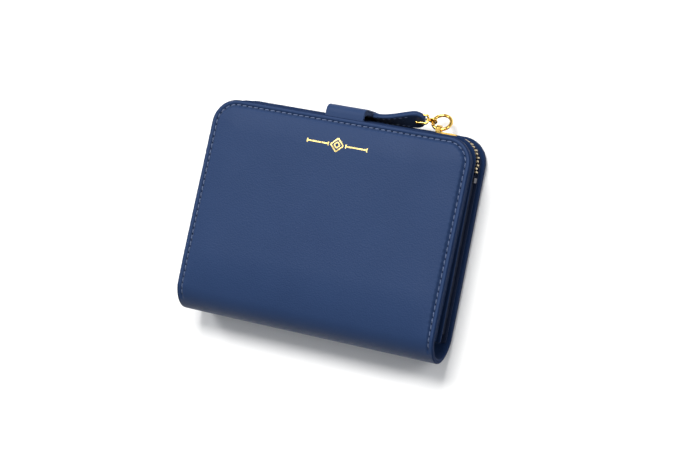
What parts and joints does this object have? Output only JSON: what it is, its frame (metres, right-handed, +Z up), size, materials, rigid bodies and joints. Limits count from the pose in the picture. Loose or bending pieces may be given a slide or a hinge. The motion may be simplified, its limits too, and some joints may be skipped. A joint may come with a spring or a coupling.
{
  "type": "bifold wallet",
  "caption": "Compact navy leather bifold wallet, padded covers, zipped coin pocket around the closure edge with a gold ring pull, and a snap strap over the top.",
  "frame": {"origin": "centre of the closed wallet's bounding box, on the surface it lies on", "axes": "+X along the fold, to the right with the front cover up; +Y from the fold to the closure edge; +Z up, from the back cover to the front cover"},
  "size_m": [0.115, 0.1, 0.0285],
  "materials": {
    "outer_leather": "smooth full-grain look, satin",
    "edge_leather": "painted edge",
    "inner_leather": "fine grain, matt",
    "lining": "woven lining",
    "zip_tape": "woven zip tape",
    "foam": "soft padding",
    "board": "stiffening board",
    "gold": "polished pale gold plating"
  },
  "bodies": {
    "back_half": {"back_cover": "outer_leather", "back_pad": "foam", "back_board": "board", "coin_pocket_lining": "lining", "coin_pocket_floor": "zip_tape", "partition_panel": "inner_leather", "card_slot_back_1": "inner_leather", "card_slot_back_2": "inner_leather", "card_slot_back_3": "inner_leather", "zip_tape_back": "zip_tape", "zip_tape_front": "zip_tape", "zip_teeth_back": "gold", "zip_teeth_front": "gold", "zip_stop_left": "gold", "zip_stop_right": "gold", "snap_stud": "gold"},
    "spine_1": {"spine_strip_1": "outer_leather"},
    "spine_2": {"spine_strip_2": "outer_leather"},
    "spine_3": {"spine_strip_3": "outer_leather"},
    "spine_4": {"spine_strip_4": "outer_leather"},
    "spine_5": {"spine_strip_5": "outer_leather"},
    "front_half": {"front_cover": "outer_leather", "front_pad": "foam", "front_board": "board", "bill_pocket_lining": "lining", "front_inner_panel": "inner_leather", "card_slot_front_1": "inner_leather", "card_slot_front_2": "inner_leather", "card_slot_front_3": "inner_leather", "strap_root": "edge_leather"},
    "zip_pull": {"zip_slider": "gold"},
    "ring": {"pull_ring": "gold"},
    "puller": {"puller_clasp": "gold", "puller_leather": "outer_leather"},
    "strap_over_edge": {"strap_bridge": "outer_leather"},
    "strap_end": {"strap_tail": "outer_leather", "snap_cap": "gold", "snap_socket": "gold"}
  },
  "joints": [
    {"name": "fold_1", "type": "hinge", "parent": "back_half", "child": "spine_1", "pos_m": [0, -0.04071, 0.0025], "axis": [1, 0, 0], "range_deg": [0, 30.5]},
    {"name": "fold_2", "type": "hinge", "parent": "spine_1", "child": "spine_2", "pos_m": [0, -0.0464, 0.00585], "axis": [1, 0, 0], "range_deg": [0, 30.5]},
    {"name": "fold_3", "type": "hinge", "parent": "spine_2", "child": "spine_3", "pos_m": [0, -0.0496, 0.01162], "axis": [1, 0, 0], "range_deg": [0, 30.5]},
    {"name": "fold_4", "type": "hinge", "parent": "spine_3", "child": "spine_4", "pos_m": [0, -0.04943, 0.01822], "axis": [1, 0, 0], "range_deg": [0, 30.5]},
    {"name": "fold_5", "type": "hinge", "parent": "spine_4", "child": "spine_5", "pos_m": [0, -0.04593, 0.02382], "axis": [1, 0, 0], "range_deg": [0, 30.5]},
    {"name": "fold_6", "type": "hinge", "parent": "spine_5", "child": "front_half", "pos_m": [0, -0.04007, 0.02686], "axis": [1, 0, 0], "range_deg": [0, 30.5]},
    {"name": "zip_slide", "type": "slide", "parent": "back_half", "child": "zip_pull", "axis": [1, 0, 0], "range_m": [-0.082, 0]},
    {"name": "ring_rock", "type": "hinge", "parent": "zip_pull", "child": "ring", "pos_m": [0.0372, 0.04309, 0.00975], "axis": [1, 0, 0], "range_deg": [-25, 25]},
    {"name": "puller_swing", "type": "hinge", "parent": "ring", "child": "puller", "pos_m": [0.0334, 0.0462, 0.00757], "axis": [0, 0.8192, -0.5736], "range_deg": [0, 100]},
    {"name": "strap_lift", "type": "hinge", "parent": "front_half", "child": "strap_over_edge", "pos_m": [0, 0.04037, 0.02075], "axis": [1, 0, 0], "range_deg": [0, 100], "deforming": ["strap_bridge"]},
    {"name": "strap_unfold", "type": "hinge", "parent": "strap_over_edge", "child": "strap_end", "pos_m": [0, 0.04484, 0.0034], "axis": [1, 0, 0], "range_deg": [0, 90], "deforming": ["strap_tail", "snap_cap", "snap_socket"]}
  ]
}
